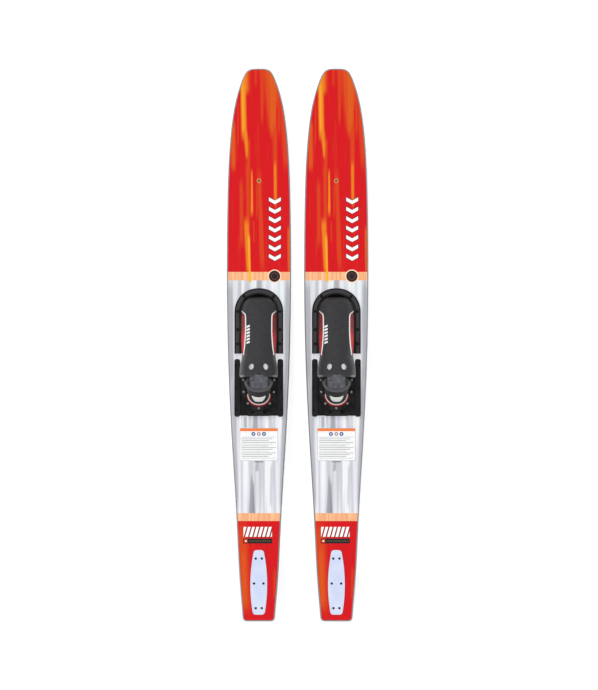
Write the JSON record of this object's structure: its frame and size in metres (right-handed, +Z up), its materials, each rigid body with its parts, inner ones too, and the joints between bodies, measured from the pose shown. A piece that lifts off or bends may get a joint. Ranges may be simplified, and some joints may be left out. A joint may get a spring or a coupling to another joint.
{
  "type": "water ski pair",
  "caption": "Pair of combination water skis with printed decks, tail fins and rubber bindings whose heel pieces slide in rails.",
  "frame": {"origin": "middle of the pair's bounding box, on the floor that the skis rest on", "axes": "+Y towards the tips, +X to the right seen from above with the tips up, +Z up"},
  "size_m": [0.4446, 1.7298, 0.1483],
  "materials": {
    "ski_core": "satin silver paint on the rim of a foam core",
    "printed_sheet": "glossy printed sheet",
    "base_laminate": "glossy white laminate",
    "brass": "machined",
    "fin_plastic": "moulded, fine grain",
    "fin_plate": "pale moulded plastic",
    "stainless": "plain stainless",
    "black_screw": "black oxide",
    "plate_aluminium": "satin",
    "overlay_rubber": "moulded rubber with a fine grain",
    "black_plastic": "moulded, fine grain",
    "rail_aluminium": "black anodised",
    "footbed_foam": "textured foam",
    "grip_rubber": "cast urethane"
  },
  "bodies": {
    "left_ski": {"left_core": "ski_core", "left_top_sheet": "printed_sheet", "left_base_sheet": "base_laminate", "left_tip_insert": "brass", "left_binding_inserts": "brass", "left_fin": "fin_plastic", "left_fin_nuts": "stainless", "left_fin_plate": "fin_plate", "left_fin_screws": "black_screw", "left_toe_base_plate": "plate_aluminium", "left_toe_overlay": "overlay_rubber", "left_toe_frame": "black_plastic", "left_toe_footbed": "footbed_foam", "left_toe_screws": "black_screw", "left_rail_left": "rail_aluminium", "left_rail_right": "rail_aluminium", "left_rail_screws": "black_screw", "left_grip_strip": "grip_rubber"},
    "right_ski": {"right_core": "ski_core", "right_top_sheet": "printed_sheet", "right_base_sheet": "base_laminate", "right_tip_insert": "brass", "right_binding_inserts": "brass", "right_fin": "fin_plastic", "right_fin_nuts": "stainless", "right_fin_plate": "fin_plate", "right_fin_screws": "black_screw", "right_toe_base_plate": "plate_aluminium", "right_toe_overlay": "overlay_rubber", "right_toe_frame": "black_plastic", "right_toe_footbed": "footbed_foam", "right_toe_screws": "black_screw", "right_rail_left": "rail_aluminium", "right_rail_right": "rail_aluminium", "right_rail_screws": "black_screw", "right_grip_strip": "grip_rubber"},
    "left_heel": {"left_heel_plate": "black_plastic", "left_heel_cup": "overlay_rubber", "left_heel_clamp": "black_plastic", "left_heel_screws": "stainless", "left_heel_footbed": "footbed_foam", "left_lock_pin": "stainless", "left_lock_spring": "stainless"},
    "right_heel": {"right_heel_plate": "black_plastic", "right_heel_cup": "overlay_rubber", "right_heel_clamp": "black_plastic", "right_heel_screws": "stainless", "right_heel_footbed": "footbed_foam", "right_lock_pin": "stainless", "right_lock_spring": "stainless"},
    "left_lever": {"left_lock_lever": "black_plastic"},
    "right_lever": {"right_lock_lever": "black_plastic"}
  },
  "joints": [
    {"name": "pair_spacing", "type": "slide", "parent": "left_ski", "child": "right_ski", "axis": [1, 0, 0], "range_m": [-0.035, 0.25]},
    {"name": "left_heel_slide", "type": "slide", "parent": "left_ski", "child": "left_heel", "axis": [0, 0.9986, -0.0528], "range_m": [0, 0.04]},
    {"name": "left_lever_hinge", "type": "hinge", "parent": "left_heel", "child": "left_lever", "pos_m": [-0.1215, -0.21068, 0.05563], "axis": [-1, 0, 0], "range_deg": [0, 80], "stiffness_Nm_per_rad": 0.05},
    {"name": "right_heel_slide", "type": "slide", "parent": "right_ski", "child": "right_heel", "axis": [0, 0.9986, -0.0528], "range_m": [0, 0.04]},
    {"name": "right_lever_hinge", "type": "hinge", "parent": "right_heel", "child": "right_lever", "pos_m": [0.1215, -0.21068, 0.05563], "axis": [-1, 0, 0], "range_deg": [0, 80], "stiffness_Nm_per_rad": 0.05}
  ]
}
